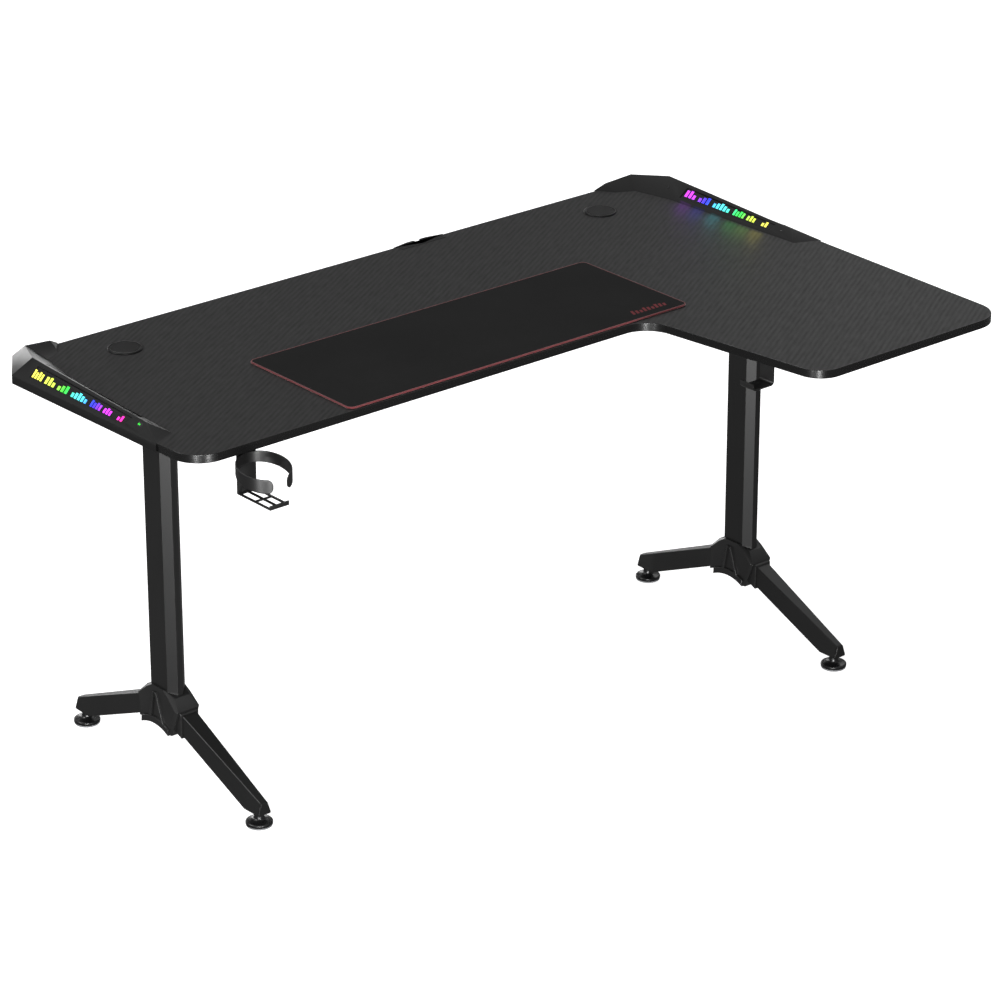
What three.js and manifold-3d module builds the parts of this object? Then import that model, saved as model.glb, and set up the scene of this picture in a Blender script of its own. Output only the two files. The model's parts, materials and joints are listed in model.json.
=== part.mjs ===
// An L-shaped gaming desk: worktop, two column legs on splayed arms, corner light
// panels, cable grommets, cup holder, headset hook and mouse pad.
// Millimetres, +Z up, +Y to the rear; the origin is on the floor at the middle of the plan.

import * as THREE from 'three';
import { mergeVertices } from 'three/addons/utils/BufferGeometryUtils.js';
import { ConvexGeometry } from 'three/addons/geometries/ConvexGeometry.js';
import Module from 'manifold-3d';

const wasm = await Module();
wasm.setup();

// Worktop
const deskHeight = 755;        // floor to worktop surface
const topLength = 1600;        // rear edge
const topThickness = 16;
const mainDepth = 598;
const wingDepth = 1000;
const wingWidth = 551;         // of the return wing, at the main front edge
const sideLean = 0.025;        // both side edges draw in towards the front
const wingLean = 0.14;         // the wing's inner edge draws in more
const frontRadius = 60;
const wingTipRadius = 50;
const innerRadius = 60;
const bandThickness = 1;

// Clearances
const gap = 0.3;               // between pieces that touch
const screwGap = 0.4;

// Grommets
const grommetInset = 228;      // from each end
const grommetDepth = 100;      // from the rear edge
const grommetHole = 29.5;
const grommetFlange = 3;       // of the ring, around the hole
const grommetRise = 3.2;
const grommetWall = 2;
const grommetLedge = 3;
const capThickness = 3;
const capRecess = 0.2;         // of the cap's face, below the ring's rim
const roundSegments = 32;

// Cable guide in the rear edge
const guideX = 193;            // its middle, right of the worktop's middle
const guideLength = 108;
const guideLip = 11;           // the lip runs on past each end
const guideDepth = 18;
const guideSlot = 13;
const guideSlotDepth = 14;
const guideRise = 0.6;
const guideFlat = 24.3;        // half of the lip's straight outer edge
const rearOverhang = 8;        // how far the lip stands behind the rear edge

// Light panels: hipped shells that wrap the rear corners
const skirt = 3;
const skirtDrop = topThickness;
const panelWall = 2.2;
const panelLength = 498;       // front tip, from the rear edge
const ridgeInset = 35;
const ridgeRear = { v: 90, z: 29 };
const ridgeFront = { v: panelLength - 58, z: 13.7 };
const ridgeCorner = { u: 70, v: 14, z: 20.4 };
const ridgeEnd = { u: 130, v: 5, z: 12.5 };
const cornerU = 53;            // where the panel's corner facet meets the rear edge
const cornerV = 76;            // and the side edge
const cutMargin = { u: 3, v: 4 };    // the worktop's cut corner lies this far inside the panel's
const innerFoot = [
  { u: 60, v: panelLength - 22 }, { u: 74, v: 139 }, { u: 92, v: 53 }, { u: 128, v: 34 },
];
const wingEnd = 152;
const lensThickness = 1.6;
const lensDepth = 1;
const outerWindow = { from: 118, to: panelLength - 96, low: 0.25, high: 0.82 };
const innerWindow = { from: 152, to: panelLength - 96, low: 0.25, high: 0.82 };
const buttonWindow = { from: panelLength - 74, to: panelLength - 62, low: 0.52, high: 0.84 };
const buttonRise = 0.6;
const boardWidth = 12;
const boardThickness = 1.6;
const basePlate = 1.2;
const inletSize = { x: 26, y: 18, z: 9 };
const inletSocket = { x: 9, y: 9, z: 5.5 };

// Legs
const legs = [
  { side: 'left', x: -topLength / 2 + 154.5, v: mainDepth / 2 + 4, beam: mainDepth - 178 },
  { side: 'right', x: topLength / 2 - 204.5, v: wingDepth / 2 - 1, beam: wingDepth - 480 },
];
const columnWidth = 40;
const columnDepth = 78;
const columnChamfer = 14;
const columnWall = 1.8;
const topPlate = { x: 90, y: 112, z: 4 };
const beamWidth = 50;
const beamHeight = 25;
const tubeWall = 2;
const railHeight = 20;
const railDepth = 40;
const railsV = [legs[0].v - 21, legs[0].v + 137];

// Arms, in the upright plane of each leg; d is the distance from the column's axis, along Y
const armSlope = 0.43;
const armHeight = 42;
const armReach = 282;
const armTipTop = 51;
const armRoot = { d: columnDepth / 2 + 8, half: 17 };
const armTip = { top: 7.5, foot: 15 };
const armRootTop = armTipTop + (armReach - armRoot.d) * armSlope;
const capPlate = 3;

// Hub, around the column's foot and the roots of the arms
const hubTop = { z: armRootTop + 19, x: columnWidth / 2 + 5, d: columnDepth / 2 + 4 };
const hubEar = { z: armRootTop + 29, x: columnWidth / 2 + 4, d: columnDepth / 2 - 19 };
const hubShoulder = { z: armRootTop - 1, x: columnWidth / 2 + 7, d: columnDepth / 2 + 22 };
const hubFoot = { z: armRootTop - 54, x: columnWidth / 2 + 10, d: columnDepth / 2 + 4 };
const hubArch = 90;
const hubArchTop = armRootTop - 42;
const hubLip = 5;
const columnBase = armRootTop - 32;

// Levelling feet
const footReach = armReach - 14;
const footGap = 26;            // floor to the underside of the arm's tip
const padRadius = 25;
const padPocket = 9;           // blind hole for the stud
const neckRadius = 9;
const studRadius = 4;
const studTop = footGap + 23;
const insertRadius = 8;
const insertHeight = 15;

// Cup holder, from the worktop's left end
const cup = { u: 132, radius: 49, wall: 2.5, clear: 0.5, height: 23, mouth: 30, base: 92 };
const cupTilt = 0.214;         // the ring falls by this much for each millimetre towards the front
const cupMiddle = cup.clear + cup.height / 2 + cupTilt * cup.radius;
const cupStrap = { setback: 6.3, width: 41, thickness: 2.5, flange: 34, bar: 5, lip: 8 };
const cupFloor = 2 * cup.radius - 6;

// Headset hook, under the wing's inner edge
const hook = {
  v: wingDepth - 140, setback: 19.3, width: 34, drop: 44, reach: 50, lip: 14, flange: 34,
  thickness: 3, bend: 8,
};

const screw = { head: 4, headHeight: 2, shank: 2, length: 12, segments: 16 };

// Mouse pad
const matLength = 800;
const matDepth = 298;
const matThickness = 4;
const matRadius = 14;
const matLeft = 356.5;         // from the worktop's left end
const matFront = 3;            // from the main front edge
const matGap = 0.2;

const finishes = {
  laminate: [0x35373a, 0.55, 0],
  edging: [0x1b1b1c, 0.35, 0],
  steel: [0x232323, 0.5, 0.6],
  casting: [0x2a2a2b, 0.5, 0.5],
  plastic: [0x202021, 0.55, 0],
  lens: [0x101012, 0.2, 0],
  board: [0x1f3a2a, 0.5, 0],
  rubber: [0x161616, 0.8, 0],
  zinc: [0x9a9a9a, 0.35, 0.9],
  cloth: [0x222224, 0.95, 0],
};

// Solids and shapes

function solid(geometry) {
  const bare = geometry.clone();
  bare.deleteAttribute('normal');
  bare.deleteAttribute('uv');
  const merged = mergeVertices(bare, 1e-4);
  return new wasm.Manifold(new wasm.Mesh({
    numProp: 3,
    vertProperties: new Float32Array(merged.attributes.position.array),
    triVerts: new Uint32Array(merged.index.array),
  }));
}

function surface(body) {
  const mesh = body.getMesh();
  const geometry = new THREE.BufferGeometry();
  geometry.setAttribute('position', new THREE.BufferAttribute(mesh.vertProperties, 3));
  geometry.setIndex(new THREE.BufferAttribute(mesh.triVerts, 1));
  return geometry;
}

function cut(geometry, ...tools) {
  return surface(tools.reduce((body, tool) => body.subtract(solid(tool)), solid(geometry)));
}

function join(first, ...others) {
  return surface(others.reduce((body, other) => body.add(solid(other)), solid(first)));
}

function prism(shape, low, high, segments = 10) {
  const geometry = new THREE.ExtrudeGeometry(shape, {
    depth: high - low, bevelEnabled: false, curveSegments: segments,
  });
  return geometry.translate(0, 0, low);
}

function block(low, high) {
  const size = high.map((value, i) => value - low[i]);
  const middle = high.map((value, i) => (value + low[i]) / 2);
  return new THREE.BoxGeometry(...size).translate(...middle);
}

function rod(radius, low, high, x = 0, y = 0, segments = roundSegments) {
  return new THREE.CylinderGeometry(radius, radius, high - low, segments)
    .rotateX(Math.PI / 2)
    .translate(x, y, (low + high) / 2);
}

function turned(profile, segments = roundSegments) {
  const points = profile.map(([radius, z]) => new THREE.Vector2(radius, z));
  return new THREE.LatheGeometry(points, segments).rotateX(Math.PI / 2);
}

function hull(points) {
  return new ConvexGeometry(points);
}

function polygon(points) {
  return new THREE.Shape(points.map(([x, y]) => new THREE.Vector2(x, y)));
}

// A closed outline through corners [x, y, radius], counterclockwise, moved inwards by inset
function roundedOutline(corners, inset = 0) {
  const count = corners.length;
  const edges = corners.map(([x, y], i) => {
    const [nx, ny] = corners[(i + 1) % count];
    const way = new THREE.Vector2(nx - x, ny - y).normalize();
    return { from: new THREE.Vector2(x - way.y * inset, y + way.x * inset), way };
  });
  const shape = new THREE.Shape();
  corners.forEach(([, , radius], i) => {
    const before = edges[(i + count - 1) % count];
    const after = edges[i];
    const turn = before.way.cross(after.way);
    const apart = after.from.clone().sub(before.from);
    const corner = before.from.clone().addScaledVector(before.way, apart.cross(after.way) / turn);
    const bend = Math.sign(turn);
    const r = Math.max(radius - bend * inset, 0);
    if (radius === 0 || r === 0) {
      shape[i === 0 ? 'moveTo' : 'lineTo'](corner.x, corner.y);
      return;
    }
    const angle = Math.acos(THREE.MathUtils.clamp(before.way.dot(after.way), -1, 1));
    const reach = r * Math.tan(angle / 2);
    const start = corner.clone().addScaledVector(before.way, -reach);
    const normal = new THREE.Vector2(-before.way.y, before.way.x).multiplyScalar(bend);
    const centre = start.clone().addScaledVector(normal, r);
    const first = Math.atan2(start.y - centre.y, start.x - centre.x);
    if (i === 0) shape.moveTo(start.x, start.y);
    shape.absarc(centre.x, centre.y, r, first, first + bend * angle, bend < 0);
  });
  shape.closePath();
  return shape;
}

// Scene graph

const desk = new THREE.Group();

function put(group, name, geometry, finish) {
  const [color, roughness, metalness] = finishes[finish];
  const material = new THREE.MeshStandardMaterial({ color, roughness, metalness });
  const mesh = new THREE.Mesh(geometry, material);
  mesh.name = name;
  group.add(mesh);
  return mesh;
}

// The worktop group's origin is on its surface, at the middle of the rear edge, so a place
// is (x, -v, z) with v the distance from the rear edge
const top = new THREE.Group();
const rearY = (wingDepth - rearOverhang) / 2;
top.position.set(0, rearY, deskHeight);
desk.add(top);

const halfLength = topLength / 2;
const wingInnerX = halfLength - wingWidth;
const wingEdgeX = (v) => wingInnerX + wingLean * (v - mainDepth);
const rearCutX = cornerU + cutMargin.u;
const rearCutY = cornerV + cutMargin.v;
const topCorners = [
  [halfLength - rearCutX, 0, 0],
  [-halfLength + rearCutX, 0, 0],
  [-halfLength + sideLean * rearCutY, -rearCutY, 0],
  [-halfLength + sideLean * mainDepth, -mainDepth, frontRadius],
  [wingInnerX, -mainDepth, innerRadius],
  [wingEdgeX(wingDepth), -wingDepth, wingTipRadius],
  [halfLength - sideLean * wingDepth, -wingDepth, frontRadius],
  [halfLength - sideLean * rearCutY, -rearCutY, 0],
];
const worktopOutline = (inset) => roundedOutline(topCorners, inset);

const grommets = [
  { side: 'left', x: -halfLength + grommetInset },
  { side: 'right', x: halfLength - grommetInset },
];

// Under-worktop screws: [name, x, v, thickness of the flange that they hold]
const cupX = -halfLength + cup.u;
const cupBack = mainDepth - cupStrap.setback;
const cupV = cupBack + gap + cup.radius;
const hookX = wingEdgeX(hook.v) + hook.setback;
const screws = [
  ['cup_screw_rear', cupX, cupBack - cupStrap.flange * 3 / 4, cupStrap.thickness],
  ['cup_screw_front', cupX, cupBack - cupStrap.flange / 3, cupStrap.thickness],
  ['hook_screw_front', hookX + hook.flange / 2, hook.v + hook.width / 4, hook.thickness],
  ['hook_screw_rear', hookX + hook.flange / 2, hook.v - hook.width / 4, hook.thickness],
];
const screwHoles = () => screws.map(([, x, v, flange]) =>
  rod(screw.shank + screwGap, -topThickness - flange - 1,
    -topThickness - flange + screw.length + 1, x, -v, screw.segments));

function guideNotch(margin, low, high) {
  return block([guideX - guideLength / 2 - margin, -guideDepth - margin, low],
    [guideX + guideLength / 2 + margin, rearOverhang, high]);
}

function buildWorktop() {
  const boardInset = bandThickness + gap / 3;
  const board = prism(worktopOutline(boardInset), -topThickness, 0);
  const holes = grommets.map(({ x }) => rod(grommetHole, -topThickness - 1, 1, x, -grommetDepth));
  const notch = guideNotch(gap, -topThickness - 1, 1);
  put(top, 'desktop_panel', cut(board, notch, ...holes, ...screwHoles()), 'laminate');

  const ring = cut(prism(worktopOutline(0), -topThickness, 0),
    prism(worktopOutline(bandThickness), -topThickness - 1, 1), notch);
  put(top, 'edge_band', ring, 'edging');
}

function buildGrommets() {
  const sleeve = grommetHole - gap;
  const bore = sleeve - grommetWall;
  const rim = grommetHole + grommetFlange;
  const ring = [
    [bore, grommetRise], [rim - 2, grommetRise], [rim, 0.6], [rim, 0], [sleeve, 0], [sleeve, -topThickness + 1],
    [bore - grommetLedge, -topThickness + 1], [bore - grommetLedge, -capThickness + 2],
    [bore, -capThickness + 2], [bore, grommetRise],
  ].reverse();
  const cap = [
    [0, -capThickness + 2], [bore - gap, -capThickness + 2], [bore - gap, grommetRise - 1],
    [bore - gap - 0.8, grommetRise - capRecess], [0, grommetRise - capRecess],
  ];
  grommets.forEach(({ side, x }) => {
    put(top, `grommet_ring_${side}`, turned(ring), 'plastic').position.set(x, -grommetDepth, 0);
    put(top, `grommet_cap_${side}`, turned(cap), 'plastic').position.set(x, -grommetDepth, 0);
  });
}

function buildCableGuide() {
  const half = guideLength / 2;
  const body = polygon([
    [-half, -guideDepth], [half, -guideDepth], [half, gap], [half + guideLip, gap],
    [guideFlat, rearOverhang], [-guideFlat, rearOverhang], [-half - guideLip, gap],
    [-half, gap],
  ]);
  const slot = block([-guideSlot / 2, -guideSlotDepth, -topThickness - 1],
    [guideSlot / 2, rearOverhang + 1, 2]);
  put(top, 'cable_guide', cut(prism(body, -topThickness, guideRise), slot), 'plastic')
    .position.set(guideX, 0, 0);
}

// Light panels: u is the distance in from the worktop's end, v from its rear edge
const outerU = (v) => sideLean * v - skirt - gap;
const innerU = (v) => {
  const [front, rear] = innerFoot;
  return THREE.MathUtils.mapLinear(v, rear.v, front.v, rear.u, front.u);
};
const ridgeZ = (v) => THREE.MathUtils.mapLinear(v, ridgeRear.v, ridgeFront.v, ridgeRear.z,
  ridgeFront.z);

function panelFrame(sign) {
  const at = (u, v, z) => new THREE.Vector3(sign * (halfLength - u), -v, z);
  const rearV = -skirt - gap;
  const feet = {
    outerFront: at(outerU(panelLength), panelLength, 0),
    outerRear: at(outerU(cornerV), cornerV, 0),
    corner: at(cornerU, rearV, 0),
    end: at(wingEnd, rearV, 0),
    innerEnd: at(innerFoot[3].u, innerFoot[3].v, 0),
    innerCorner: at(innerFoot[2].u, innerFoot[2].v, 0),
    innerRear: at(innerFoot[1].u, innerFoot[1].v, 0),
    innerFront: at(innerFoot[0].u, innerFoot[0].v, 0),
  };
  const ridge = {
    front: at(ridgeInset, ridgeFront.v, ridgeFront.z),
    rear: at(ridgeInset, ridgeRear.v, ridgeRear.z),
    corner: at(ridgeCorner.u, ridgeCorner.v, ridgeCorner.z),
    end: at(ridgeEnd.u, ridgeEnd.v, ridgeEnd.z),
  };
  return { at, feet, ridge };
}

// The three convex bays of the panel, each foot with the ridge point that it climbs to
function panelBays({ feet, ridge }) {
  return [
    [[feet.outerFront, ridge.front], [feet.outerRear, ridge.rear],
      [feet.innerRear, ridge.rear], [feet.innerFront, ridge.front]],
    [[feet.outerRear, ridge.rear], [feet.corner, ridge.corner],
      [feet.innerCorner, ridge.corner], [feet.innerRear, ridge.rear]],
    [[feet.corner, ridge.corner], [feet.end, ridge.end],
      [feet.innerEnd, ridge.end], [feet.innerCorner, ridge.corner]],
  ];
}

function panelSolid(frame, inset, drop, low) {
  const bays = panelBays(frame).map((bay) => {
    const points = bay.flatMap(([foot, peak]) => {
      const way = new THREE.Vector3(peak.x - foot.x, peak.y - foot.y, 0).normalize();
      const moved = foot.clone().addScaledVector(way, inset);
      return [moved, moved.clone().setZ(low), peak.clone().setZ(peak.z - drop)];
    });
    return hull(points);
  });
  return join(...bays);
}

// A thin four-sided solid in a sloping face, from the foot line at 0 to the ridge at 1
function facePatch(frame, footU, window, outside, inside, shrink) {
  const place = (v, share) => {
    const foot = frame.at(footU(v), v, 0);
    const peak = frame.at(ridgeInset, v, ridgeZ(v));
    return foot.lerp(peak, share);
  };
  const slope = place(window.from, 0).distanceTo(place(window.from, 1));
  const low = window.low + shrink / slope;
  const high = window.high - shrink / slope;
  const corners = [
    place(window.from + shrink, low), place(window.to - shrink, low),
    place(window.to - shrink, high), place(window.from + shrink, high),
  ];
  const normal = corners[2].clone().sub(corners[0])
    .cross(corners[3].clone().sub(corners[1])).normalize();
  if (normal.z < 0) normal.negate();
  return hull(corners.flatMap((corner) => [
    corner.clone().addScaledVector(normal, outside),
    corner.clone().addScaledVector(normal, -inside),
  ]));
}

function buildPanel(side, sign) {
  const frame = panelFrame(sign);
  const open = (footU, window) => facePatch(frame, footU, window, 6, panelWall + 4, 0);
  const windows = [open(outerU, outerWindow), open(innerU, innerWindow)];
  if (side === 'left') windows.push(open(outerU, buttonWindow));
  const cavity = panelSolid(frame, panelWall * 2, panelWall * 1.35, -1);
  const shell = cut(panelSolid(frame, 0, 0, -skirtDrop),
    prism(worktopOutline(-gap), -skirtDrop - 1, 0), cavity, ...windows);
  put(top, `light_housing_${side}`, shell, 'plastic');

  const inside = panelSolid(frame, panelWall * 2 + 2 * gap, panelWall * 1.35 + 2 * gap, 0);
  const slab = block([-halfLength, -panelLength, 0], [halfLength, 0, basePlate]);
  put(top, `light_base_${side}`, surface(solid(inside).intersect(solid(slab))), 'plastic');

  const lens = (footU, window) =>
    facePatch(frame, footU, window, -lensDepth, lensDepth + lensThickness, gap);
  put(top, `light_lens_outer_${side}`, lens(outerU, outerWindow), 'lens');
  put(top, `light_lens_inner_${side}`, lens(innerU, innerWindow), 'lens');

  const boardLow = basePlate + gap;
  const boardA = frame.at(ridgeInset - boardWidth / 2, outerWindow.from, 0);
  const boardB = frame.at(ridgeInset + boardWidth / 2, outerWindow.to, 0);
  put(top, `led_board_${side}`, block(
    [Math.min(boardA.x, boardB.x), boardB.y, boardLow],
    [Math.max(boardA.x, boardB.x), boardA.y, boardLow + boardThickness]), 'board');

  const socketX = sign * (halfLength - ridgeEnd.u);
  const inlet = block([-inletSize.x / 2, -inletSize.y, -inletSize.z], [inletSize.x / 2, 0, 0]);
  const socketZ = -inletSize.z / 2;
  const socket = block([-inletSocket.x / 2, -inletSocket.y, socketZ - inletSocket.z / 2],
    [inletSocket.x / 2, 1, socketZ + inletSocket.z / 2]);
  put(top, `light_inlet_${side}`, cut(inlet, socket), 'plastic')
    .position.set(socketX, -inletSize.y / 2, -topThickness);

  if (side === 'left') {
    put(top, 'mode_button', facePatch(frame, outerU, buttonWindow, buttonRise,
      panelWall + 0.6, gap), 'plastic');
  }
}

// Legs

const columnSection = (inset) => {
  const x = columnWidth / 2 - inset;
  const y = columnDepth / 2 - inset;
  const c = columnChamfer - inset * (2 - Math.SQRT2);
  return polygon([
    [x, -y + c], [x, y - c], [x - c, y], [-x + c, y], [-x, y - c], [-x, -y + c],
    [-x + c, -y], [x - c, -y],
  ]);
};

function armHull(way, wall, from, to) {
  const topAt = (d) => armTipTop + (armReach - d) * armSlope - wall;
  const low = footGap + wall;
  const bend = armReach - (footGap + armHeight - armTipTop) / armSlope;
  const share = (d) => (d - armRoot.d) / (armReach - armRoot.d);
  const topHalf = (d) => THREE.MathUtils.lerp(armRoot.half, armTip.top, share(d)) - wall;
  const lowHalf = (d) => THREE.MathUtils.lerp(armRoot.half, armTip.foot, share(d)) - wall;
  const points = [-1, 1].flatMap((side) => [
    [side * topHalf(from), from, topAt(from)],
    [side * lowHalf(from), from, topAt(from) - armHeight + 2 * wall],
    [side * lowHalf(bend), bend, low],
    [side * lowHalf(to), to, low],
    [side * topHalf(to), to, topAt(to)],
  ]);
  return hull(points.map(([x, d, z]) => new THREE.Vector3(x, way * d, z)));
}

function buildHub(leg, name) {
  const ring = ({ z, x, d }, chamfer) => [-1, 1].flatMap((i) => [-1, 1].flatMap((j) => [
    new THREE.Vector3(i * x, j * (d - chamfer), z),
    new THREE.Vector3(i * (x - chamfer), j * d, z),
  ]));
  const body = hull([
    ...ring(hubEar, 2), ...ring(hubTop, 9), ...ring(hubShoulder, 4), ...ring(hubFoot, 4),
  ]);
  const arch = new THREE.CylinderGeometry(hubArch, hubArch, 2 * hubFoot.x + 2, 64)
    .rotateZ(Math.PI / 2)
    .translate(0, 0, hubArchTop - hubArch);
  const pocket = prism(columnSection(-gap), columnBase - gap, hubEar.z + 1);
  const through = prism(columnSection(hubLip), 0, columnBase + 1);
  const sockets = [-1, 1].map((way) => armHull(way, -gap, armRoot.d - gap, armReach));
  put(leg, name, cut(body, arch, pocket, through, ...sockets), 'casting');
}

function buildArm(leg, way, name) {
  const tube = armHull(way, 0, armRoot.d, armReach);
  const hollow = armHull(way, tubeWall, armRoot.d - 1, armReach + 1);
  const hole = rod(insertRadius + gap, 0, footGap + tubeWall + 1, 0, way * footReach);
  put(leg, `arm_${name}`, cut(tube, hollow, hole), 'steel');

  const end = [armReach + gap, armReach + gap + capPlate].flatMap((d) => [-1, 1].flatMap((i) => [
    new THREE.Vector3(i * armTip.top, way * d, armTipTop),
    new THREE.Vector3(i * armTip.foot, way * d, footGap),
  ]));
  put(leg, `arm_cap_${name}`, hull(end), 'plastic');

  const insert = turned([
    [studRadius + gap, footGap], [insertRadius, footGap],
    [insertRadius, footGap + insertHeight], [studRadius + gap, footGap + insertHeight],
    [studRadius + gap, footGap],
  ]);
  put(leg, `foot_insert_${name}`, insert, 'zinc').position.y = way * footReach;

  put(leg, `foot_stud_${name}`, rod(studRadius, padPocket + gap, studTop), 'zinc')
    .position.y = way * footReach;
  const pad = turned([
    [0, 0], [padRadius - 1.5, 0], [padRadius, 1.5], [padRadius, 7], [padRadius - 4, 11],
    [neckRadius + 3, 13.5], [neckRadius, 16], [neckRadius, footGap - gap],
    [studRadius + gap, footGap - gap], [studRadius + gap, padPocket], [0, padPocket],
  ]);
  put(leg, `foot_pad_${name}`, pad, 'rubber').position.y = way * footReach;
}

function buildLeg({ side, x, v, beam }) {
  const leg = new THREE.Group();
  leg.position.set(x, rearY - v, 0);
  desk.add(leg);

  const underside = deskHeight - topThickness;
  const columnTop = underside - beamHeight - topPlate.z;
  const tube = cut(prism(columnSection(0), columnBase, columnTop),
    prism(columnSection(columnWall), columnBase - 1, columnTop + 1));
  put(leg, `column_${side}`, tube, 'steel');
  put(leg, `column_plate_${side}`, block(
    [-topPlate.x / 2, -topPlate.y / 2, columnTop],
    [topPlate.x / 2, topPlate.y / 2, columnTop + topPlate.z]), 'steel');
  const channel = cut(
    block([-beamWidth / 2, -beam / 2, underside - beamHeight], [beamWidth / 2, beam / 2, underside]),
    block([-beamWidth / 2 + tubeWall, -beam / 2 - 1, underside - beamHeight + tubeWall],
      [beamWidth / 2 - tubeWall, beam / 2 + 1, underside - tubeWall]));
  put(leg, `cross_beam_${side}`, channel, 'steel');

  buildHub(leg, `hub_${side}`);
  buildArm(leg, -1, `front_${side}`);
  buildArm(leg, 1, `rear_${side}`);
}

function buildRails() {
  const [left, right] = legs;
  const from = left.x + beamWidth / 2 + gap;
  const to = right.x - beamWidth / 2 - gap;
  railsV.forEach((v, i) => {
    const half = railDepth / 2;
    const outer = block([from, -v - half, -topThickness - railHeight], [to, -v + half, -topThickness]);
    const inner = block(
      [from - 1, -v - half + tubeWall, -topThickness - railHeight + tubeWall],
      [to + 1, -v + half - tubeWall, -topThickness - tubeWall]);
    put(top, `rail_${['rear', 'front'][i]}`, cut(outer, inner), 'steel');
  });
}

// Accessories

function buildCupHolder() {
  const { width, thickness, flange, bar, lip } = cupStrap;
  const half = width / 2;
  const under = -topThickness;
  const back = -cupBack;
  const front = back - cupFloor;
  const strap = block([-half, back, -cup.base], [half, back + thickness, under]);
  const plate = block([-half, back, under - thickness], [half, back + flange, under]);
  const floor = block([-half, front, -cup.base], [half, back + 1, -cup.base + thickness]);
  const edge = block([-half, front, -cup.base], [half, front + thickness, -cup.base + lip]);
  const middle = (front + back) / 2;
  const windows = [[-1, front + bar + thickness, middle - bar / 2], [-1, middle + bar / 2, back - bar],
    [1, front + bar + thickness, middle - bar / 2], [1, middle + bar / 2, back - bar]];
  const cuts = windows.map(([way, low, high]) => block(
    [way > 0 ? bar / 2 : -half + bar, low, -cup.base - 1],
    [way > 0 ? half - bar : -bar / 2, high, -cup.base + thickness + 1]));
  const holes = screwHoles().map((hole) => hole.translate(-cupX, 0, 0));
  put(top, 'cup_bracket', cut(join(strap, plate, floor, edge), ...cuts, ...holes), 'steel')
    .position.x = cupX;

  const opening = Math.asin(cup.mouth / 2 / cup.radius);
  const start = -Math.PI / 2 + opening;
  const end = (3 / 2) * Math.PI - opening;
  const band = new THREE.Shape();
  band.absarc(0, 0, cup.radius, start, end, false);
  band.absarc(0, 0, cup.radius - cup.wall, end, start, true);
  band.closePath();
  const level = prism(band, -cup.height / 2, cup.height / 2, 28);
  const tilted = level.applyMatrix4(new THREE.Matrix4().makeShear(0, 0, 0, cupTilt, 0, 0));
  put(top, 'cup_ring', tilted, 'steel').position.set(cupX, -cupV, -topThickness - cupMiddle);
}

function buildHook() {
  const { width, reach, flange, thickness, bend } = hook;
  const under = -topThickness;
  const floor = under - hook.drop;
  const tip = floor + hook.lip;
  const inner = bend - thickness;
  const profile = roundedOutline([
    [0, under - thickness, 0], [0, floor + thickness, inner],
    [-reach + thickness, floor + thickness, inner], [-reach + thickness, tip, 0],
    [-reach, tip, 0], [-reach, floor, bend], [thickness, floor, bend],
    [thickness, under - thickness, 0], [flange, under - thickness, 0], [flange, under, 0],
    [0, under, 0],
  ]);
  const strip = new THREE.ExtrudeGeometry(profile, {
    depth: width, bevelEnabled: false, curveSegments: 6,
  }).rotateX(Math.PI / 2).translate(0, width / 2, 0);
  const holes = screwHoles().map((hole) => hole.translate(-hookX, hook.v, 0));
  put(top, 'headset_hook', cut(strip, ...holes), 'steel').position.set(hookX, -hook.v, 0);
}

function buildScrews() {
  screws.forEach(([name, x, v, flange]) => {
    const seat = -topThickness - flange;
    const face = seat - gap / 3;
    const body = join(rod(screw.shank, face - 0.5, seat + screw.length, 0, 0, screw.segments),
      rod(screw.head, face - screw.headHeight, face, 0, 0, screw.segments));
    put(top, name, body, 'zinc').position.set(x, -v, 0);
  });
}

function buildMat() {
  const x = -halfLength + matLeft;
  const front = -mainDepth + matFront;
  const outline = roundedOutline([
    [x, front, matRadius], [x + matLength, front, matRadius],
    [x + matLength, front + matDepth, matRadius], [x, front + matDepth, matRadius],
  ]);
  put(top, 'mouse_pad', prism(outline, matGap, matGap + matThickness, 8), 'cloth');
}

buildWorktop();
buildGrommets();
buildCableGuide();
buildPanel('left', -1);
buildPanel('right', 1);
legs.forEach(buildLeg);
buildRails();
buildCupHolder();
buildHook();
buildScrews();
buildMat();

export default desk;
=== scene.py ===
import json
import math

import bmesh
import bpy
import numpy as np
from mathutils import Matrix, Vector
from mathutils.bvhtree import BVHTree


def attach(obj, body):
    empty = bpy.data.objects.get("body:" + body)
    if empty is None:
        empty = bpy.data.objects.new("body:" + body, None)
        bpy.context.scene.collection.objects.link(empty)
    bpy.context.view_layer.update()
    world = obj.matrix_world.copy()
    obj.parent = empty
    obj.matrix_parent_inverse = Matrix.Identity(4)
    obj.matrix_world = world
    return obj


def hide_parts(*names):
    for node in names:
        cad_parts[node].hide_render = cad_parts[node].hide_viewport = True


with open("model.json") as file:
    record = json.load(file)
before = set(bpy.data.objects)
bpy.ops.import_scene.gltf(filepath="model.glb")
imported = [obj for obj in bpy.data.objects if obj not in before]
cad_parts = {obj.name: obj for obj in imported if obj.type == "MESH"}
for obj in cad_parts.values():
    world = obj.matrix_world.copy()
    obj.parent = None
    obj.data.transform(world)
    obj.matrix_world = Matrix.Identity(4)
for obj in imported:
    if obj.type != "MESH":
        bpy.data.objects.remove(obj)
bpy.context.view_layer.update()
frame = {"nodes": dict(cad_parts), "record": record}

cadNodes = frame["nodes"]
bodyOf = {node: body for body, members in frame["record"]["behaviour"]["bodies"].items()
          for node in members}
slotOf = {part["node"]: part["material_slot"] for part in frame["record"]["subparts"]}
mm = 0.001

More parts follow.
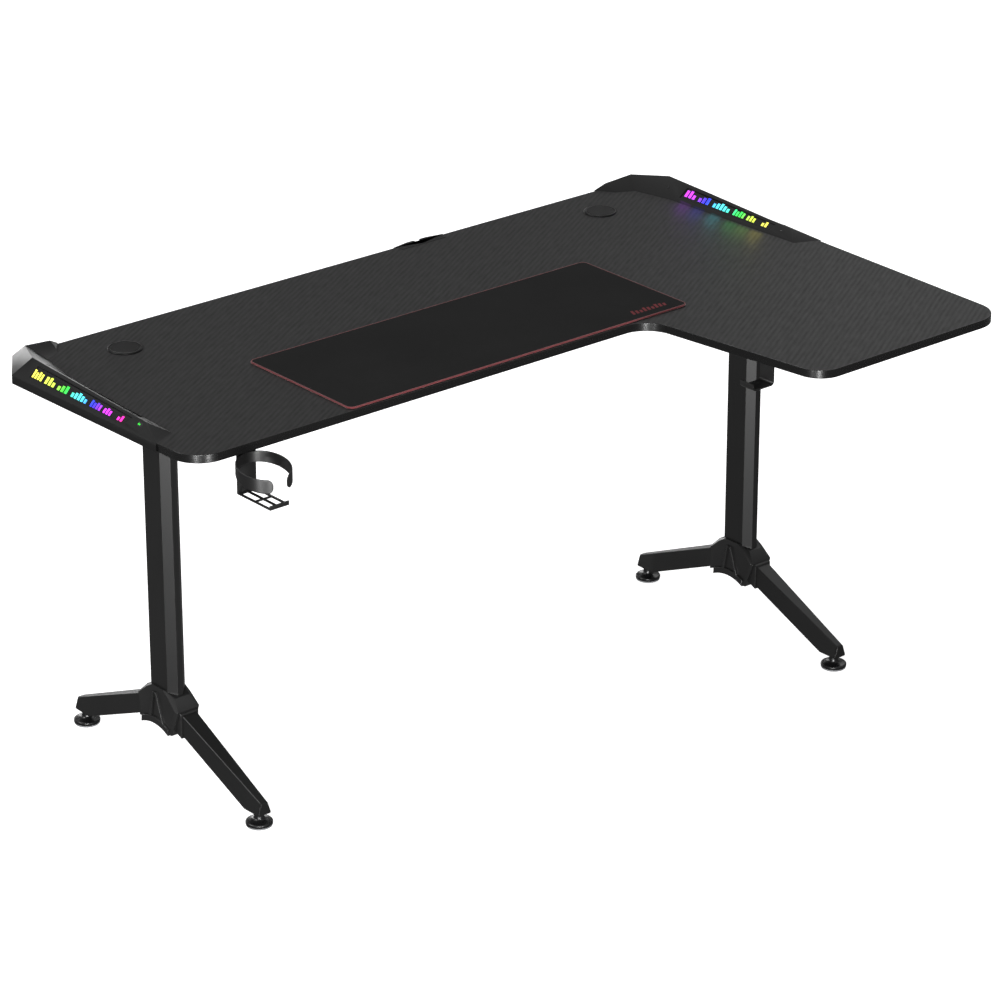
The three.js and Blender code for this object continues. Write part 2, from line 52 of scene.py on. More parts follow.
# The desk's own sizes in millimetres. A place on the worktop is (x, -v, z): v is the
# distance from the rear edge, z the height over the surface.
desk = {"height": 755, "rearY": 496, "length": 1600, "thickness": 16, "mainDepth": 598,
        "wingDepth": 1000, "wingWidth": 551, "sideLean": 0.025, "wingLean": 0.14,
        "rearCut": (56, 80), "frontRadius": 60, "tipRadius": 50, "innerRadius": 60}
halfLength = desk["length"] / 2
touch = 0.3  # clearance between pieces that meet


# Camera and studio

studio = {"place": (-4.5829, -5.4180, 3.5151), "turn": 40.11, "down": 23.51, "lens": 150.29,
          "floor": 40.0, "glow": 0.0045}


def makeCamera():
    camera = bpy.data.objects.new("camera", bpy.data.cameras.new("camera"))
    camera.location = studio["place"]
    camera.rotation_euler = (math.radians(90 - studio["down"]), 0, math.radians(-studio["turn"]))
    camera.data.lens = studio["lens"]
    camera.data.sensor_width = 36
    camera.data.clip_end = 200
    bpy.context.scene.collection.objects.link(camera)
    bpy.context.scene.camera = camera


def makeLight(name, kind, strength, place, aim, **settings):
    light = bpy.data.lights.new(name, kind)
    light.energy = strength
    for key, value in settings.items():
        setattr(light, key, value)
    holder = bpy.data.objects.new(name, light)
    gaze = np.subtract(aim, place)
    turn = math.atan2(gaze[1], gaze[0]) - math.pi / 2
    tilt = math.atan2(math.hypot(gaze[0], gaze[1]), -gaze[2])
    holder.rotation_euler = (tilt, 0, turn)
    holder.location = place
    bpy.context.scene.collection.objects.link(holder)
    return holder


# Materials

def colour(code):
    # sRGB hex to linear red, green, blue and alpha.
    parts = np.array([int(code[i:i + 2], 16) for i in (1, 3, 5)]) / 255
    linear = np.where(parts <= 0.04045, parts / 12.92, ((parts + 0.055) / 1.055) ** 2.4)
    return (*linear.tolist(), 1.0)


def node(tree, kind, values=None, wires=None, **settings):
    # Adds a node, with its settings, its socket values and the sockets wired into it.
    made = tree.nodes.new(kind)
    for key, value in settings.items():
        setattr(made, key, value)
    for key, value in (values or {}).items():
        made.inputs[key].default_value = value
    for key, source in (wires or {}).items():
        tree.links.new(source, made.inputs[key])
    return made


def newMaterial(name, **sockets):
    material = bpy.data.materials.new(name)
    material.use_nodes = True
    tree = material.node_tree
    tree.nodes.clear()
    shader = node(tree, "ShaderNodeBsdfPrincipled", sockets)
    node(tree, "ShaderNodeOutputMaterial", wires={"Surface": shader.outputs[0]})
    return material, tree, shader


def ramp(tree, source, stops, **settings):
    # A colour ramp with stops of place and hex colour.
    made = node(tree, "ShaderNodeValToRGB", wires={"Fac": source})
    for key, value in settings.items():
        setattr(made.color_ramp, key, value)
    elements = made.color_ramp.elements
    for i, (place, code) in enumerate(stops):
        element = elements[i] if i < 2 else elements.new(place)
        element.position = place
        element.color = colour(code)
    return made.outputs["Color"]


def carbonLaminate():
    # Melamine laminate printed and embossed as carbon-fibre twill: satin, with fine slanting ribs.
    # The ribs stand 9.7 mm apart and run 31.7 degrees from the rear edge.
    ribPitch, ribTurn = 9.7 * mm, math.radians(-31.7)
    material, tree, shader = newMaterial("carbon twill laminate", Roughness=0.5,
                                         **{"Specular IOR Level": 0.16})
    place = node(tree, "ShaderNodeTexCoord").outputs["Object"]
    along = node(tree, "ShaderNodeMapping", {"Rotation": (0, 0, ribTurn)}, {"Vector": place})
    ribs = node(tree, "ShaderNodeTexWave",
                {"Scale": math.pi / 10 / ribPitch, "Distortion": 0.6, "Detail": 2.0,
                 "Detail Scale": 1.5},
                {"Vector": along.outputs[0]}, wave_type="BANDS", bands_direction="Y",
                wave_profile="SIN")
    # each rib breaks into short lengths, as the tow crosses under its neighbours
    stretched = node(tree, "ShaderNodeMapping", {"Scale": (34, 150, 1)},
                     {"Vector": along.outputs[0]})
    breaks = node(tree, "ShaderNodeTexNoise", {"Scale": 1.0, "Detail": 3.0, "Roughness": 0.6},
                  {"Vector": stretched.outputs[0]})
    fine = node(tree, "ShaderNodeTexNoise", {"Scale": 1 / (1.6 * mm), "Detail": 2.0},
                {"Vector": place})
    mixed = node(tree, "ShaderNodeMath", {1: 0.3}, {0: ribs.outputs["Fac"]},
                 operation="MULTIPLY")
    height = node(tree, "ShaderNodeMath", {1: 0.9}, {0: breaks.outputs["Fac"],
                                                   2: mixed.outputs[0]},
                  operation="MULTIPLY_ADD")
    tone = ramp(tree, height.outputs[0], [(0.25, "#272727"), (0.55, "#303030"),
                                          (0.95, "#363636")])
    grain = node(tree, "ShaderNodeMixRGB", {"Fac": 0.12}, {"Color1": tone,
                                                         "Color2": fine.outputs["Fac"]},
                 blend_type="OVERLAY")
    tree.links.new(grain.outputs[0], shader.inputs["Base Color"])
    rough = node(tree, "ShaderNodeMapRange", {"From Min": 0.3, "From Max": 1.1, "To Min": 0.56,
                                            "To Max": 0.44}, {"Value": height.outputs[0]})
    tree.links.new(rough.outputs[0], shader.inputs["Roughness"])
    bump = node(tree, "ShaderNodeBump", {"Strength": 0.12, "Distance": 0.2 * mm},
                {"Height": height.outputs[0]})
    tree.links.new(bump.outputs[0], shader.inputs["Normal"])
    return material


def grained(name, base, dark, roughness, grain, depth, metallic=0.0, **sockets):
    # A moulded or coated surface: one colour that drifts a little, with a fine even grain.
    # grain is the size of the grain in millimetres, depth its height.
    material, tree, shader = newMaterial(name, Metallic=metallic, Roughness=roughness, **sockets)
    place = node(tree, "ShaderNodeTexCoord").outputs["Object"]
    drift = node(tree, "ShaderNodeTexNoise", {"Scale": 9.0, "Detail": 4.0}, {"Vector": place})
    tone = ramp(tree, drift.outputs["Fac"], [(0.3, dark), (0.7, base)])
    tree.links.new(tone, shader.inputs["Base Color"])
    pebble = node(tree, "ShaderNodeTexNoise", {"Scale": 1 / (grain * mm), "Detail": 3.0},
                  {"Vector": place})
    spread = node(tree, "ShaderNodeMapRange", {"To Min": roughness - 0.06,
                                             "To Max": roughness + 0.06},
                  {"Value": pebble.outputs["Fac"]})
    tree.links.new(spread.outputs[0], shader.inputs["Roughness"])
    bump = node(tree, "ShaderNodeBump", {"Strength": 0.35, "Distance": depth * mm},
                {"Height": pebble.outputs["Fac"]})
    tree.links.new(bump.outputs[0], shader.inputs["Normal"])
    return material


def litMarks(name, stops, rearV, frontV):
    # Backlit acrylic marks: the colour runs along the panel, from the rear to the front.
    material, tree, shader = newMaterial(name, Roughness=0.3)
    place = node(tree, "ShaderNodeTexCoord").outputs["Object"]
    axes = node(tree, "ShaderNodeSeparateXYZ", wires={"Vector": place})
    share = node(tree, "ShaderNodeMapRange",
                 {"From Min": (desk["rearY"] - rearV) * mm,
                  "From Max": (desk["rearY"] - frontV) * mm},
                 {"Value": axes.outputs["Y"]})
    tone = ramp(tree, share.outputs[0], stops, interpolation="EASE")
    tree.links.new(tone, shader.inputs["Base Color"])
    tree.links.new(tone, shader.inputs["Emission Color"])
    shader.inputs["Emission Strength"].default_value = 1.15
    return material


def knittedCloth():
    # Polyester jersey bonded to foam rubber: matt and nearly black, with a faint knit.
    # Its 0.9 mm loops are drawn 2.4 mm wide, so that they show.
    loop = 2.4 * mm
    material, tree, shader = newMaterial("knitted mat cloth", Roughness=0.92,
                                         **{"Sheen Weight": 0.04, "Sheen Roughness": 0.5,
                                            "Specular IOR Level": 0.12})
    place = node(tree, "ShaderNodeTexCoord").outputs["Object"]
    rows = node(tree, "ShaderNodeTexWave", {"Scale": math.pi / 10 / loop, "Distortion": 1.2,
                                          "Detail": 1.0}, {"Vector": place},
                wave_type="BANDS", bands_direction="X")
    columns = node(tree, "ShaderNodeTexWave", {"Scale": math.pi / 10 / loop, "Distortion": 1.2,
                                             "Detail": 1.0}, {"Vector": place},
                   wave_type="BANDS", bands_direction="Y")
    knit = node(tree, "ShaderNodeMath", wires={0: rows.outputs["Fac"], 1: columns.outputs["Fac"]},
                operation="MULTIPLY")
    cloud = node(tree, "ShaderNodeTexNoise", {"Scale": 5.0, "Detail": 5.0}, {"Vector": place})
    tone = ramp(tree, cloud.outputs["Fac"], [(0.35, "#101010"), (0.7, "#171717")])
    weave = node(tree, "ShaderNodeMixRGB", {"Fac": 0.25}, {"Color1": tone,
                                                         "Color2": knit.outputs[0]},
                 blend_type="OVERLAY")
    tree.links.new(weave.outputs[0], shader.inputs["Base Color"])
    bump = node(tree, "ShaderNodeBump", {"Strength": 0.3, "Distance": 0.2 * mm},
                {"Height": knit.outputs[0]})
    tree.links.new(bump.outputs[0], shader.inputs["Normal"])
    return material


def stitchThread():
    # Overlock thread, twisted polyester: dark red, with painted shade that darkens it between the
    # stitches.
    material, tree, shader = newMaterial("overlock thread", Roughness=0.75,
                                         **{"Sheen Weight": 0.3})
    sheet = node(tree, "ShaderNodeUVMap", uv_map="stitch").outputs["UV"]
    # the wave's dark bands follow the twist of the strands and are painted shade in the gaps between
    # the stitches
    strandsAndGapShade = node(tree, "ShaderNodeTexWave", {"Scale": 3.2, "Distortion": 1.0}, {"Vector": sheet},
                   wave_type="BANDS", bands_direction="DIAGONAL")
    tone = ramp(tree, strandsAndGapShade.outputs["Fac"], [(0.1, "#35090d"), (0.8, "#7c1a23")])
    tree.links.new(tone, shader.inputs["Base Color"])
    return material


def brushedZinc():
    # Bright zinc plating on steel: bluish grey, faintly cloudy.
    return grained("zinc plate", "#a9adb0", "#8d9194", 0.32, 0.8, 0.02, metallic=1.0)


rainbowLeft = [(0.0, "#e8dc50"), (0.2, "#c8e048"), (0.36, "#2fd43a"), (0.5, "#4fe0e6"),
               (0.66, "#2a30e8"), (0.82, "#d030e8"), (1.0, "#e8209a")]
rainbowRight = [(0.0, "#e02a98"), (0.2, "#c83af4"), (0.36, "#2a34f0"), (0.5, "#50e4f0"),
                (0.7, "#30dc50"), (0.84, "#c8e048"), (1.0, "#f0e458")]

print("materials")
finish = {
    "laminate": carbonLaminate(),
    # PVC edge band: glossy black, so it mirrors the lamps at the rounded corners
    "edging": grained("PVC edge band", "#0e0e0e", "#0b0b0b", 0.26, 3.0, 0.02),
    # polyester powder coat: a fine sandy texture over steel
    "powder_coat": grained("black powder coat", "#141414", "#111111", 0.38, 0.9, 0.05),
    # die-cast aluminium, spray painted satin black
    "cast_hub": grained("satin black casting", "#1f1f1f", "#1a1a1a", 0.3, 1.4, 0.06,
                        **{"Specular IOR Level": 0.4}),
    # ABS from a spark-eroded mould: even matt grain
    "moulded_plastic": grained("grained black ABS", "#181818", "#141414", 0.32, 0.7, 0.04,
                               **{"Specular IOR Level": 0.24}),
    "gloss_plastic": grained("gloss black ABS", "#141415", "#101011", 0.2, 2.0, 0.01),
    "smoked_lens": grained("smoked acrylic", "#101011", "#0e0e0f", 0.28, 2.0, 0.01,
                            **{"Specular IOR Level": 0.25}),
    # fibreglass board under green solder mask
    "circuit_board": grained("solder mask", "#1f4a30", "#183c26", 0.35, 1.2, 0.02),
    "foot_rubber": grained("glossy foot moulding", "#121213", "#0e0e0f", 0.28, 2.0, 0.02),
    "zinc": brushedZinc(),
    "mat_fabric": knittedCloth(),
}
glide = grained("grey glide", "#8f9092", "#828384", 0.5, 1.5, 0.02)
thread = stitchThread()
printInk = grained("red mat print", "#701a22", "#5e151c", 0.8, 0.8, 0.02)
litLeft = litMarks("backlit marks left", rainbowLeft, 119, 392)
litRight = litMarks("backlit marks right", rainbowRight, 119, 392)
litGreen = litMarks("backlit mode mark", [(0.0, "#2fd43a"), (1.0, "#2fd43a")], 0, 500)


# Surfaces

def makePiece(name, points, faces, material, body, standsFor=(), sharp=35):
    # A closed mesh from points in millimetres, turned outwards if its volume comes out negative.
    mesh = bpy.data.meshes.new(name)
    mesh.from_pydata((np.asarray(points, float) * mm).tolist(), [],
                     [list(face) for face in faces])
    mesh.update()
    shell = bmesh.new()
    shell.from_mesh(mesh)
    if shell.calc_volume(signed=True) < 0:
        bmesh.ops.reverse_faces(shell, faces=shell.faces)
    shell.to_mesh(mesh)
    shell.free()
    mesh.polygons.foreach_set("use_smooth", np.ones(len(mesh.polygons), bool))
    mesh.set_sharp_from_angle(angle=math.radians(sharp))
    mesh.materials.append(material)
    piece = bpy.data.objects.new(name, mesh)
    bpy.context.scene.collection.objects.link(piece)
    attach(piece, body)
    if standsFor:
        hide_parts(*standsFor)
    return piece


def keepFlat(piece):
    # Weighted normals, so that large flat faces stay flat beside rounded edges.
    weighted = piece.modifiers.new("flat faces", "WEIGHTED_NORMAL")
    weighted.keep_sharp = True
    return piece


def quads(rows, columns, closeRows=False):
    # The faces of a grid of points, row by row. A row joins its end to its start, and with
    # closeRows the last row joins the first.
    r = np.arange(rows if closeRows else rows - 1)
    c = np.arange(columns)
    r, c = np.meshgrid(r, c, indexing="ij")
    nextR, nextC = (r + 1) % rows, (c + 1) % columns
    corners = [r * columns + c, r * columns + nextC, nextR * columns + nextC, nextR * columns + c]
    return np.stack(corners, -1).reshape(-1, 4).tolist()


def loft(rings, closed=False):
    # Points and faces of a skin over rings (row, point, xyz), with flat ends unless it closes
    # on itself.
    rings = np.asarray(rings, float)
    rows, columns = rings.shape[:2]
    faces = quads(rows, columns, closeRows=closed)
    if not closed:
        faces.append(list(range(columns))[::-1])
        faces.append(list(range((rows - 1) * columns, rows * columns)))
    return rings.reshape(-1, 3), faces


def rounded(corners, steps=6):
    # An outline through corners (x, y, radius), anticlockwise; each rounded corner is an arc.
    corners = np.asarray(corners, float)
    places, radii = corners[:, :2], corners[:, 2]
    back = np.roll(places, 1, 0) - places
    ahead = np.roll(places, -1, 0) - places
    back /= np.linalg.norm(back, axis=1)[:, None]
    ahead /= np.linalg.norm(ahead, axis=1)[:, None]
    half = np.arccos(np.clip((back * ahead).sum(1), -1, 1)) / 2
    found = []
    for place, radius, b, a, h in zip(places, radii, back, ahead, half):
        if radius == 0:
            found.append(place[None])
            continue
        middle = (a + b) / np.linalg.norm(a + b)
        centre = place + middle * radius / math.sin(h)
        start = place + b * radius / math.tan(h) - centre
        turn = (math.pi - 2 * h) * (1 if b[0] * a[1] - b[1] * a[0] < 0 else -1)
        angles = np.linspace(0, turn, steps + 1)[:, None]
        found.append(centre + start * np.cos(angles)
                     + np.array([-start[1], start[0]]) * np.sin(angles))
    return np.concatenate(found)


def outlineNormals(outline, closed=True):
    # Mitred outward normals of an anticlockwise outline.
    edges = np.roll(outline, -1, 0) - outline
    if not closed:
        edges[-1] = edges[-2]
    edges /= np.linalg.norm(edges, axis=1)[:, None]
    out = np.stack([edges[:, 1], -edges[:, 0]], 1)
    before = np.roll(out, 1, 0)
    if not closed:
        before[0] = out[0]
    joint = out + before
    return joint * 2 / (joint ** 2).sum(1)[:, None]


def plate(outline, low, high, edge, steps=4):
    # A flat plate with its upper and lower edges rounded: the outline moves in by
    # edge (1 - sin a) while the height turns by edge (1 - cos a).
    angles = np.linspace(0, math.pi / 2, steps + 1)
    inward = edge * (1 - np.sin(angles))
    rise = edge * (1 - np.cos(angles))
    inset = np.concatenate([inward, inward[::-1]])
    heights = np.concatenate([low + rise, (high - rise)[::-1]])
    flat = outline[None] - outlineNormals(outline)[None] * inset[:, None, None]
    tall = np.broadcast_to(heights[:, None, None], (*flat.shape[:2], 1))
    return loft(np.concatenate([flat, tall], 2))


def turned(profile, centre, steps=96):
    # A profile of (radius, height) turned about an upright axis through centre.
    profile = np.asarray(profile, float)
    angles = np.linspace(0, 2 * math.pi, steps, endpoint=False)
    radius, height = profile[:, 0][:, None], profile[:, 1][:, None]
    rings = np.stack([centre[0] + radius * np.cos(angles), centre[1] + radius * np.sin(angles),
                      np.broadcast_to(centre[2] + height, (len(profile), steps))], 2)
    return rings


def softened(name, width, steps=3, angle=14):
    # A merged copy of a CAD node whose edges are rounded by a bevel of that width.
    mesh = cadNodes[name].data.copy()
    shell = bmesh.new()
    shell.from_mesh(mesh)
    bmesh.ops.remove_doubles(shell, verts=shell.verts, dist=2e-5)
    bmesh.ops.dissolve_limit(shell, angle_limit=math.radians(0.4), verts=shell.verts,
                             edges=shell.edges)
    shell.to_mesh(mesh)
    shell.free()
    mesh.materials.clear()
    mesh.materials.append(finish[slotOf[name]])
    mesh.polygons.foreach_set("use_smooth", np.ones(len(mesh.polygons), bool))
    piece = bpy.data.objects.new(name + "_shape", mesh)
    bpy.context.scene.collection.objects.link(piece)
    bevel = piece.modifiers.new("edges", "BEVEL")
    bevel.width = width * mm
    bevel.segments = steps
    bevel.limit_method = "ANGLE"
    bevel.angle_limit = math.radians(angle)
    bevel.harden_normals = True
    bevel.use_clamp_overlap = True
    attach(piece, bodyOf[name])
    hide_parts(name)
    return piece


def onTop(points):
    # Places (x, -v, z) on the worktop as places in the desk's frame, in millimetres.
    return np.asarray(points, float) + [0, desk["rearY"], desk["height"]]


def newFinish(name, points, faces, standsFor):
    # A new piece that stands for a CAD node and takes its body, slot and finish.
    return makePiece(name, points, faces, finish[slotOf[standsFor]], bodyOf[standsFor],
                     (standsFor,))


# Every CAD node gets its finish first; the pieces below then replace those that show most
for nodeName, holder in cadNodes.items():
    holder.data.materials.clear()
    holder.data.materials.append(finish[slotOf[nodeName]])


# Edge band: a strip with rounded edges, carried round the worktop from one side of the cable guide
# to the other

band = {"width": 1.0, "edge": 0.8}
guide = {"x": 193, "length": 108, "lip": 11, "depth": 18, "slot": 13, "slotDepth": 14,
         "rise": 0.6, "flat": 24.3, "overhang": 8, "edge": 0.7}


def worktopCorners():
    wingX = halfLength - desk["wingWidth"]
    tipX = wingX + desk["wingLean"] * (desk["wingDepth"] - desk["mainDepth"])
    cutX, cutY = desk["rearCut"]
    lean = desk["sideLean"]
    return [(halfLength - cutX, 0, 0), (-halfLength + cutX, 0, 0),
            (-halfLength + lean * cutY, -cutY, 0),
            (-halfLength + lean * desk["mainDepth"], -desk["mainDepth"], desk["frontRadius"]),
            (wingX, -desk["mainDepth"], desk["innerRadius"]),
            (tipX, -desk["wingDepth"], desk["tipRadius"]),
            (halfLength - lean * desk["wingDepth"], -desk["wingDepth"], desk["frontRadius"]),
            (halfLength - lean * cutY, -cutY, 0)]


def makeEdgeBand():
    corners = worktopCorners()
    outline = rounded(corners, 40)
    # the outline starts at the right rear corner and runs left, so the guide's notch lies in its
    # first edge
    notch = guide["length"] / 2 + touch
    path = np.concatenate([[(guide["x"] - notch, 0)], outline[1:], outline[:1],
                           [(guide["x"] + notch, 0)]])
    normals = outlineNormals(path, closed=False)
    thick, edge = desk["thickness"], band["edge"]
    arc = np.linspace(0, math.pi / 2, 5)
    inset = np.concatenate([[band["width"]], edge * (1 - np.sin(arc)),
                            edge * (1 - np.sin(arc))[::-1], [band["width"]]])
    height = np.concatenate([[0], -edge * (1 - np.cos(arc)),
                             -thick + edge * (1 - np.cos(arc))[::-1], [-thick]])
    flat = path[:, None] - normals[:, None] * inset[None, :, None]
    rings = np.concatenate([flat, np.broadcast_to(height[None, :, None],
                                                  (*flat.shape[:2], 1))], 2)
    points, faces = loft(rings)
    keepFlat(newFinish("worktop_edge_band", onTop(points), faces, "edge_band"))


def makeCableGuide():
    half, slot = guide["length"] / 2, guide["slot"] / 2
    out, lip = guide["overhang"], half + guide["lip"]
    corners = [(-half, -guide["depth"], 1.5), (half, -guide["depth"], 1.5), (half, touch, 0),
               (lip, touch, 0.4), (guide["flat"], out, 6), (slot, out, 2.5),
               (slot, -guide["slotDepth"], 3), (-slot, -guide["slotDepth"], 3), (-slot, out, 2.5),
               (-guide["flat"], out, 6), (-lip, touch, 0.4), (-half, touch, 0)]
    points, faces = plate(rounded(corners, 6), -desk["thickness"], guide["rise"], guide["edge"])
    keepFlat(newFinish("cable_guide_moulding", onTop(points + [guide["x"], 0, 0]), faces,
                       "cable_guide"))


print("worktop edge")
makeEdgeBand()
makeCableGuide()


# Grommets

grommet = {"inset": 228, "depth": 100, "hole": 29.5, "flange": 3, "rise": 3.2, "wall": 2,
           "ledge": 3, "recess": 0.2}


def makeGrommets():
    sleeve = grommet["hole"] - touch
    bore = sleeve - grommet["wall"]
    rim = grommet["hole"] + grommet["flange"]
    rise, thick = grommet["rise"], desk["thickness"]
    arc = np.linspace(0, math.pi / 2, 7)
    crown = np.stack([rim - 2.2 + 2.2 * np.sin(arc), rise - 2.6 + 2.6 * np.cos(arc)], 1)
    ring = np.concatenate([[(bore + 0.5, rise - 0.1)], crown, [(rim, 0), (sleeve, 0),
                           (sleeve, -thick + 1), (bore - grommet["ledge"], -thick + 1),
                           (bore - grommet["ledge"], -1), (bore, -1), (bore, rise - 0.35)]])
    capTop = rise - grommet["recess"]
    edge = bore - touch
    lid = np.concatenate([[(0.01, -1), (edge, -1), (edge, capTop - 0.6)],
                          np.stack([edge - 0.6 + 0.6 * np.cos(arc),
                                    capTop - 0.6 + 0.6 * np.sin(arc)], 1),
                          [(edge - 4, capTop - 0.05), (0.01, capTop - 0.05)]])
    for side, way in (("left", -1), ("right", 1)):
        centre = (way * (halfLength - grommet["inset"]), -grommet["depth"], 0)
        points, faces = loft(turned(ring, centre), closed=True)
        newFinish(f"grommet_ring_{side}_moulding", onTop(points), faces, f"grommet_ring_{side}")
        points, faces = loft(turned(lid, centre))
        newFinish(f"grommet_cap_{side}_moulding", onTop(points), faces, f"grommet_cap_{side}")


print("grommets")
makeGrommets()


# Light panels

panel = {"skirt": 3, "ridgeInset": 35, "ridgeRear": (90, 29),
         "ridgeFront": (440, 13.7), "innerRear": (74, 139), "innerFront": (60, 476),
         "markShare": {"outer": (0.3, 0.66), "inner": (0.4, 0.78), "mode": (0.62, 0.76)},
         "markRise": 0.25, "markSink": 0.3,
         "markFill": 0.66, "markSteps": 6, "lean": -3.0, "screws": ((108, 0.5), (428, 0.55)),
         "lit": {"left": ("outer",), "right": ("outer", "inner")}}
# each group: from, to along the panel, and the heights of its slanted bars
markGroups = [(121, 152, (1, 0.8, 1, 0.9)), (159, 190, (0.9, 1, 0.6)), (197, 229, (0.55, 0.8, 1)),
              (238, 286, (0.6, 0.8, 1, 0.8, 0.6)), (295, 327, (1, 0.8, 1, 0.9)),
              (333, 357, (0.8, 1, 0.8)), (374, 391, (0.6, 1))]
# the inner lens starts further forward, so it has no room for the first group
innerGroups = markGroups[1:]
modeGroup = [(426, 433, (1, 0.7))]
# a screw's plug from its rim to its middle: radius, and height over the face
plugProfile = [(3.6, -1.0), (3.6, 0.2), (2.9, 0.35), (2.6, -0.1), (0.1, -0.2)]


def outerFoot(v):
    return desk["sideLean"] * v - panel["skirt"] - touch


def innerFoot(v):
    (u0, v0), (u1, v1) = panel["innerRear"], panel["innerFront"]
    return u0 + (v - v0) / (v1 - v0) * (u1 - u0)


def onFace(way, foot, v, share):
    # a place on a panel's long face: share goes from the foot line at 0 to the ridge at 1
    (v0, z0), (v1, z1) = panel["ridgeRear"], panel["ridgeFront"]
    ridge = z0 + (v - v0) / (v1 - v0) * (z1 - z0)
    u = foot(v) + (panel["ridgeInset"] - foot(v)) * share
    return np.stack([way * (halfLength - u), -v, ridge * share], -1)


def faceNormal(way, foot):
    # the face is nearly flat, so one normal serves for all of it
    v = np.array([150.0, 380.0, 150.0])
    corner = onFace(way, foot, v, np.array([0.2, 0.2, 0.8]))
    out = np.cross(corner[1] - corner[0], corner[2] - corner[0])
    return out / np.linalg.norm(out) * np.sign(out[2])


def settle(points, normal, name):
    # moves points along the normal until they lie on the CAD node's outer surface
    shell = bmesh.new()
    shell.from_mesh(cadNodes[name].data)
    tree = BVHTree.FromBMesh(shell)
    shell.free()
    shift = cadNodes[name].matrix_world.inverted()
    way = Vector(normal)
    found = []
    for point in onTop(points):
        start = shift @ (Vector(point) * mm + way * 0.02)
        hit = tree.ray_cast(start, shift.to_3x3() @ -way, 0.04)[0]
        found.append(point if hit is None else np.array(cadNodes[name].matrix_world @ hit) / mm)
    return np.array(found)


def markBars(way, foot, groups, low, high, lens):
    # slanted bars standing on the lens; each is cut into steps up its height, to follow the lens
    normal = faceNormal(way, foot)
    steps = panel["markSteps"]
    t = np.linspace(0, 1, steps + 1)
    points, faces = [], []
    for start, end, heights in groups:
        pitch = (end - start) / len(heights)
        for i, tall in enumerate(heights):
            v0 = start + pitch * i
            share = low + (high - low) * tall * t
            slant = panel["lean"] * tall * t
            left = settle(onFace(way, foot, v0 + slant, share), normal, lens)
            right = settle(onFace(way, foot, v0 + pitch * panel["markFill"] + slant, share), normal,
                           lens)
            flat = np.stack([left, right], 1)
            rings = np.concatenate([flat - panel["markSink"] * normal,
                                    flat[:, ::-1] + panel["markRise"] * normal], 1)
            place, skin = loft(rings)
            at = sum(len(part) for part in points)
            points.append(place)
            faces += [[at + k for k in face] for face in skin]
    return np.concatenate(points), faces


def makePanels():
    for side, way, lit in (("left", -1, litLeft), ("right", 1, litRight)):
        softened(f"light_housing_{side}", 0.9, 3, 9)
        for face in panel["lit"][side]:
            foot, groups = (outerFoot, markGroups) if face == "outer" else (innerFoot, innerGroups)
            low, high = panel["markShare"][face]
            lens = f"light_lens_{face}_{side}"
            points, faces = markBars(way, foot, groups, low, high, lens)
            makePiece(f"light_marks_{face}_{side}", points, faces, lit, bodyOf[lens],
                      sharp=20)
        for v, share in panel["screws"]:
            makePlug(side, way, v, share)
    points, faces = markBars(-1, outerFoot, modeGroup, *panel["markShare"]["mode"], "mode_button")
    makePiece("mode_mark", points, faces, litGreen, bodyOf["mode_button"],
              sharp=20)


def makePlug(side, way, v, share):
    # a glossy plug over a screw in the panel's inner face
    name = f"light_housing_{side}"
    axis = faceNormal(way, innerFoot)
    place = settle(onFace(way, innerFoot, np.array([v]), np.array([share])), axis, name)[0]
    across = np.cross(axis, (0, 1, 0))
    up = np.cross(axis, across)
    turns = np.linspace(0, 2 * math.pi, 24, endpoint=False)[:, None]
    rim = np.cos(turns) * across + np.sin(turns) * up
    points, faces = loft([place + rim * radius + axis * height for radius, height in plugProfile])
    makePiece(f"panel_plug_{side}_{v}", points, faces, finish["gloss_plastic"], bodyOf[name])


print("light panels")
makePanels()


# Legs

legs = {"left": {"x": -645.5, "v": 303}, "right": {"x": 595.5, "v": 499}}
column = {"width": 40, "depth": 78, "chamfer": 14, "edge": 1.6, "base": 120.1, "top": 710}
arm = {"slope": 0.43, "height": 42, "reach": 282, "tipTop": 51, "root": 47, "rootHalf": 17,
       "tipHalf": 7.5, "footHalf": 15, "gap": 26, "edge": 2.6, "cap": 3.0}
foot = {"inset": 14, "radius": 25, "pocket": 9, "neck": 9, "stud": 4}
hub = {"foot": (98, 30), "shoulder": (151, 27), "top": (171, 25), "archRadius": 90, "archTop": 110,
       "halfArch": 41, "flange": 13, "flangeProud": 4.5, "ribProud": 5.0,
       "ribs": [((15, 120), (8, 171), 3.2), ((-23, 116), (1, 171), 3.6)],
       "collarFrom": 46, "collarTo": 65, "collarGrow": 3.6}


def columnSection():
    x, y, c, r = column["width"] / 2, column["depth"] / 2, column["chamfer"], column["edge"]
    return rounded([(x, -y + c, r), (x, y - c, r), (x - c, y, r), (-x + c, y, r), (-x, y - c, r),
                    (-x, -y + c, r), (-x + c, -y, r), (x - c, -y, r)], 4)


def armSection(d, grow=0.0, edge=None):
    # The arm's section at distance d from the column: a trapezium with rounded corners, whose top
    # falls with the arm's slope and whose underside follows it down to the level foot.
    share = (d - arm["root"]) / (arm["reach"] - arm["root"])
    topZ = arm["tipTop"] + (arm["reach"] - d) * arm["slope"]
    lowZ = max(topZ - arm["height"], arm["gap"])
    topHalf = arm["rootHalf"] + share * (arm["tipHalf"] - arm["rootHalf"]) + grow
    lowHalf = arm["rootHalf"] + share * (arm["footHalf"] - arm["rootHalf"]) + grow
    radius = arm["edge"] if edge is None else edge
    return rounded([(-lowHalf, lowZ - grow, radius), (lowHalf, lowZ - grow, radius),
                    (topHalf, topZ + grow, radius), (-topHalf, topZ + grow, radius)], 5)


